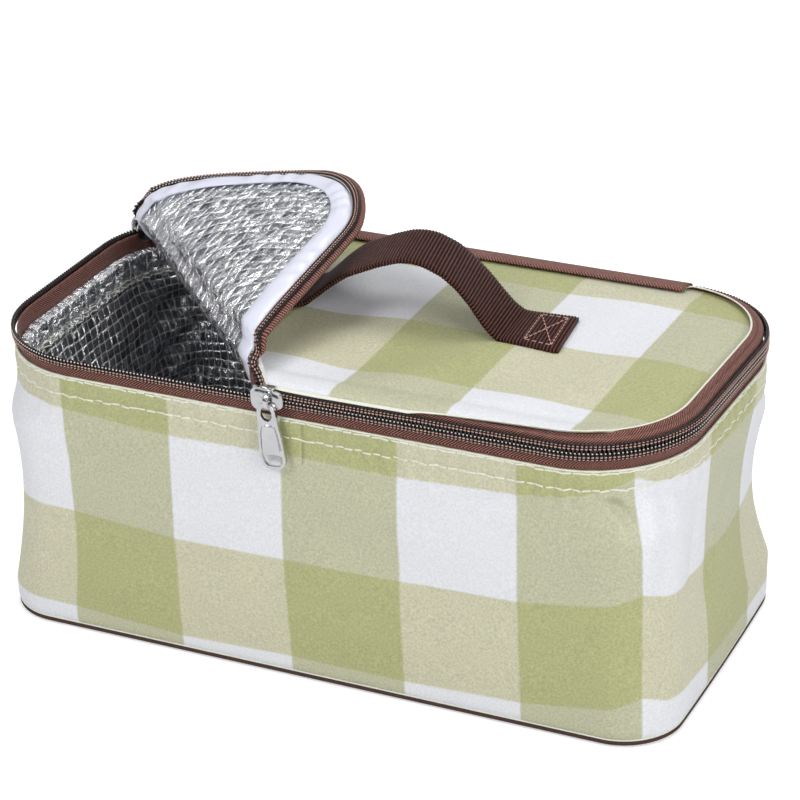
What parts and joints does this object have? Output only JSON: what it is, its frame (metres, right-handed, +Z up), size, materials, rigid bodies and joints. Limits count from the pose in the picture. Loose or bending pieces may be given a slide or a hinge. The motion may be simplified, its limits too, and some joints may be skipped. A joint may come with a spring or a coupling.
{
  "type": "insulated picnic bag with zip lid",
  "caption": "Soft rounded-box picnic cool bag in check cloth with foil lining, a zip lid with one corner folded back, and a webbing top handle.",
  "frame": {"origin": "middle of the flat base that the bag stands on", "axes": "+X along the bag to the right as seen from the front, +Y to the hinged back, +Z up"},
  "size_m": [0.3024, 0.1592, 0.1698],
  "materials": {
    "check_fabric": "smooth woven polyester with a green and beige check on white",
    "foil": "embossed silver film lining",
    "foam": "closed-cell padding",
    "white_film": "smooth white coated fabric",
    "brown_tape": "herringbone woven tape",
    "webbing": "ribbed woven webbing",
    "zip_coil": "glossy black-brown coil with stitches",
    "piping": "dark woven piping",
    "nickel": "bright nickel plate"
  },
  "bodies": {
    "tub": {"outer_wall": "check_fabric", "outer_base": "check_fabric", "bottom_piping": "piping", "wall_foam": "foam", "base_foam": "foam", "wall_lining": "foil", "base_lining": "foil", "lining_hem": "foil", "lining_seam_strip": "white_film", "body_zip_tape": "brown_tape", "body_zip_chain": "zip_coil", "hinge_tape": "brown_tape"},
    "lid": {"lid_panel": "check_fabric", "lid_foam": "foam", "lid_lining": "foil", "lid_border": "white_film", "lid_binding": "brown_tape", "lid_zip_tape_rear": "brown_tape", "lid_zip_chain_rear": "zip_coil", "lid_zip_tape_front": "brown_tape", "lid_zip_chain_front": "zip_coil", "handle_strap": "webbing"},
    "corner": {"corner_panel": "check_fabric", "corner_foam": "foam", "corner_lining": "foil", "corner_border": "white_film", "corner_binding": "brown_tape", "corner_zip_tape": "brown_tape", "corner_zip_chain": "zip_coil"},
    "front_slider": {"front_slider": "nickel"},
    "front_pull": {"front_pull": "nickel"},
    "rear_slider": {"rear_slider": "nickel"},
    "rear_pull": {"rear_pull": "nickel"}
  },
  "joints": [
    {"name": "lid_hinge", "type": "hinge", "parent": "tub", "child": "lid", "pos_m": [0, 0.076, 0.125], "axis": [-1, 0, 0], "range_deg": [0, 180], "deforming": ["hinge_tape", "lid_zip_tape_rear", "lid_zip_tape_front", "lid_zip_chain_rear", "lid_zip_chain_front"]},
    {"name": "corner_fold", "type": "hinge", "parent": "lid", "child": "corner", "pos_m": [-0.013, -0.0755, 0.1275], "axis": [-0.6993, 0.7148, 0], "range_deg": [-150, 0], "deforming": ["corner_zip_tape", "corner_zip_chain"]},
    {"name": "front_zip_slide", "type": "slide", "parent": "tub", "child": "front_slider", "axis": [1, 0, 0], "range_m": [-0.083, 0.105]},
    {"name": "front_pull_swing", "type": "hinge", "parent": "front_slider", "child": "front_pull", "pos_m": [-0.013, -0.07925, 0.1233], "axis": [-1, 0, 0], "range_deg": [0, 160]},
    {"name": "rear_zip_slide", "type": "hinge", "parent": "tub", "child": "rear_slider", "pos_m": [-0.104, 0.0305, 0.125], "axis": [0, 0, 1], "range_deg": [-43, 25]},
    {"name": "rear_pull_swing", "type": "hinge", "parent": "rear_slider", "child": "rear_pull", "pos_m": [-0.14442, 0.05776, 0.1233], "axis": [0.5592, 0.829, 0], "range_deg": [0, 150]}
  ]
}
